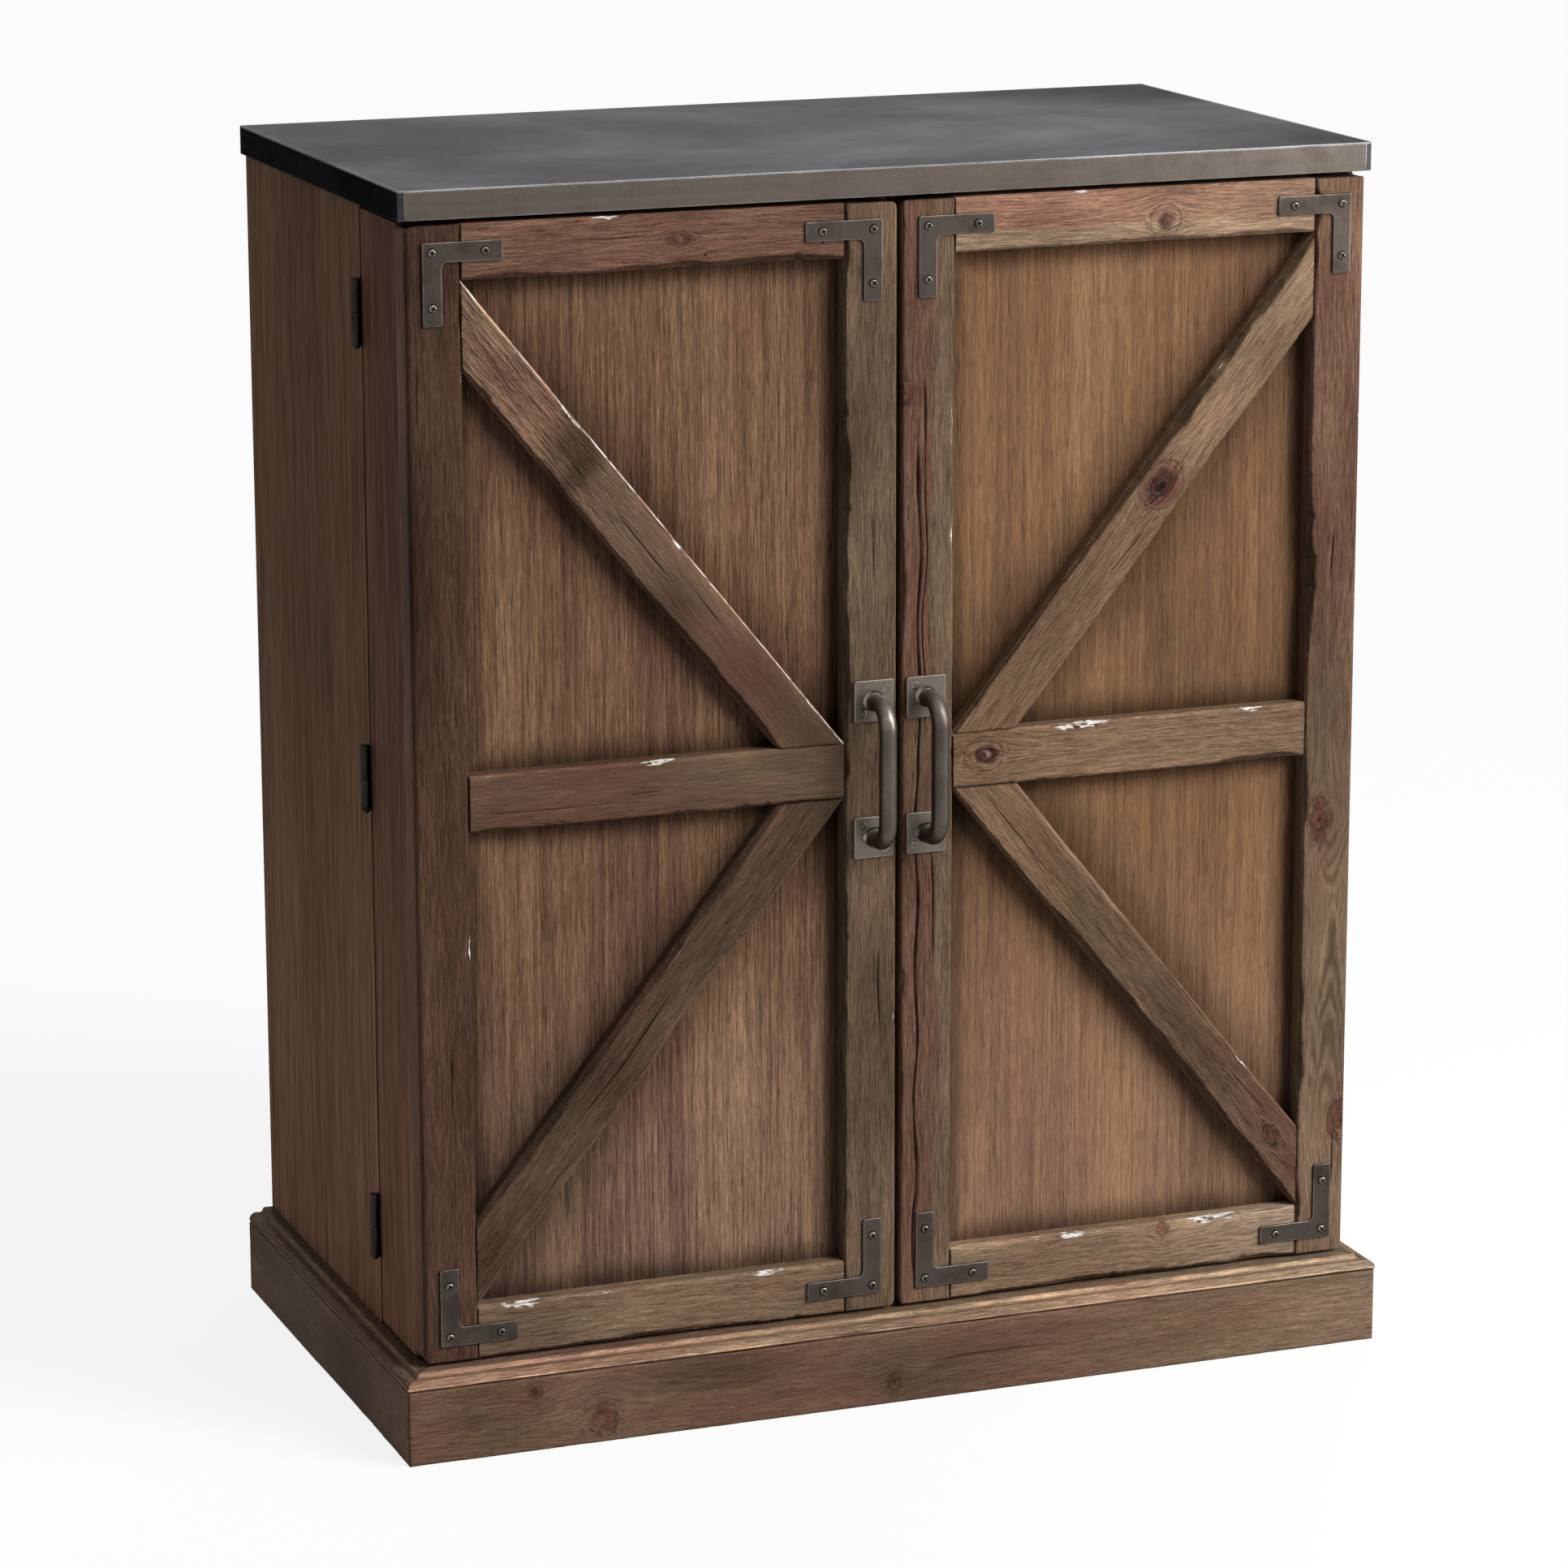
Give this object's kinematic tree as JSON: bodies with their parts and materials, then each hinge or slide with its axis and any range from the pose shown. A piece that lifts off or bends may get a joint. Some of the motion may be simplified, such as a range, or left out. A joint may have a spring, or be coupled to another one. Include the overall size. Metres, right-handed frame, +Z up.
{
  "type": "bar armoire",
  "caption": "Bar armoire in distressed wood with a metal-clad top, braced deep storage doors, corner brackets, bent-bar handles and a moulded plinth.",
  "frame": {"origin": "on the floor, in the middle of the width and of the depth from the handles to the back", "axes": "+Z up, -Y to the front of the doors, +X to the right of someone facing the doors"},
  "size_m": [0.897, 0.5142, 1.067],
  "materials": {
    "distressed_wood": "weathered, mixed brown and grey, worn edges",
    "veneer_wood": "straight-grained stained veneer, satin",
    "case_wood": "stained board, satin",
    "clad_metal": "mottled dark patina, brighter worn edges",
    "gunmetal": "dull pewter grey",
    "screw_steel": "bright plated",
    "black_metal": "black, satin"
  },
  "bodies": {
    "cabinet": {"top_metal_sheet": "clad_metal", "top_core": "case_wood", "side_panel_left": "veneer_wood", "side_panel_right": "veneer_wood", "back_panel": "case_wood", "bottom_panel": "case_wood", "carcass_top": "case_wood", "middle_shelf": "case_wood", "stemware_rails": "case_wood", "base_deck": "distressed_wood", "base_moulding_front": "distressed_wood", "base_moulding_left": "distressed_wood", "base_moulding_right": "distressed_wood", "plinth_front": "distressed_wood", "plinth_left": "distressed_wood", "plinth_right": "distressed_wood", "plinth_back": "distressed_wood", "cabinet_hinge_leaves": "black_metal", "hinge_pins": "black_metal", "door_magnets": "screw_steel"},
    "left_door": {"left_door_hinge_stile": "distressed_wood", "left_door_meeting_stile": "distressed_wood", "left_door_top_rail": "distressed_wood", "left_door_middle_rail": "distressed_wood", "left_door_bottom_rail": "distressed_wood", "left_door_upper_brace": "distressed_wood", "left_door_lower_brace": "distressed_wood", "left_door_panel": "veneer_wood", "left_door_outer_side": "veneer_wood", "left_door_inner_side": "case_wood", "left_door_box_top": "case_wood", "left_door_box_bottom": "case_wood", "left_door_shelves": "case_wood", "left_door_guard_rails": "case_wood", "left_door_handle": "gunmetal", "left_door_handle_screws": "screw_steel", "left_door_corner_brackets": "gunmetal", "left_door_bracket_screws": "screw_steel", "left_door_hinge_leaves": "black_metal", "left_door_strike_plate": "screw_steel"},
    "right_door": {"right_door_hinge_stile": "distressed_wood", "right_door_meeting_stile": "distressed_wood", "right_door_top_rail": "distressed_wood", "right_door_middle_rail": "distressed_wood", "right_door_bottom_rail": "distressed_wood", "right_door_upper_brace": "distressed_wood", "right_door_lower_brace": "distressed_wood", "right_door_panel": "veneer_wood", "right_door_outer_side": "veneer_wood", "right_door_inner_side": "case_wood", "right_door_box_top": "case_wood", "right_door_box_bottom": "case_wood", "right_door_shelves": "case_wood", "right_door_guard_rails": "case_wood", "right_door_handle": "gunmetal", "right_door_handle_screws": "screw_steel", "right_door_corner_brackets": "gunmetal", "right_door_bracket_screws": "screw_steel", "right_door_hinge_leaves": "black_metal", "right_door_strike_plate": "screw_steel"}
  },
  "joints": [
    {"name": "left_door_hinge", "type": "hinge", "parent": "cabinet", "child": "left_door", "pos_m": [-0.4311, -0.091, 0.5595], "axis": [0, 0, -1], "range_deg": [0, 180]},
    {"name": "right_door_hinge", "type": "hinge", "parent": "cabinet", "child": "right_door", "pos_m": [0.4311, -0.091, 0.5595], "axis": [0, 0, 1], "range_deg": [0, 180]}
  ]
}
